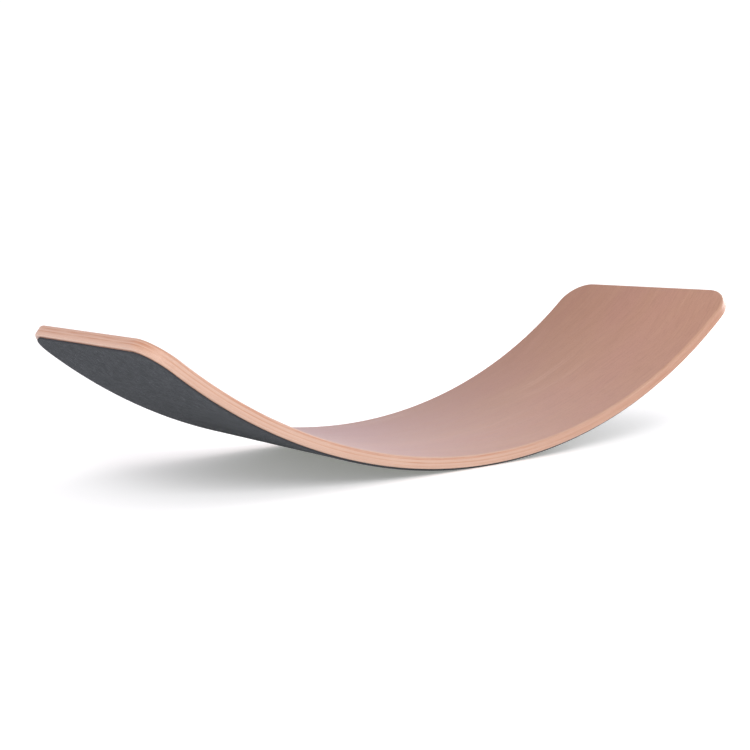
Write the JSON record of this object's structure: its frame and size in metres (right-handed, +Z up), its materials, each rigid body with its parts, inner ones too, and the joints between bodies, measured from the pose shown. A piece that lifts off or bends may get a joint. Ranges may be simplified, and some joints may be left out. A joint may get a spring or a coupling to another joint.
{
  "type": "curved balance board",
  "caption": "Curved plywood balance board of pressed beech veneers, with rounded corners and edges and a felt sole that it rocks on.",
  "frame": {"origin": "middle of the felt's lowest line, where the level board stands on a flat floor", "axes": "+X along the board's length, +Y across its width, +Z up, with the hollow side up"},
  "size_m": [0.8934, 0.3, 0.1835],
  "materials": {
    "face_veneer": "clear satin lacquer on long-grain beech",
    "long_grain_veneer": "clear satin lacquer on the sanded edge",
    "cross_grain_veneer": "clear satin lacquer on sanded end grain",
    "felt": "needled felt, matt"
  },
  "bodies": {
    "root": {"felt_sole": "felt", "bottom_face_veneer": "face_veneer", "long_veneer_2": "long_grain_veneer", "cross_veneer_3": "cross_grain_veneer", "long_veneer_4": "long_grain_veneer", "long_veneer_5": "long_grain_veneer", "cross_veneer_6": "cross_grain_veneer", "long_veneer_7": "long_grain_veneer", "long_veneer_8": "long_grain_veneer", "cross_veneer_9": "cross_grain_veneer", "long_veneer_10": "long_grain_veneer", "top_face_veneer": "face_veneer"}
  },
  "joints": []
}
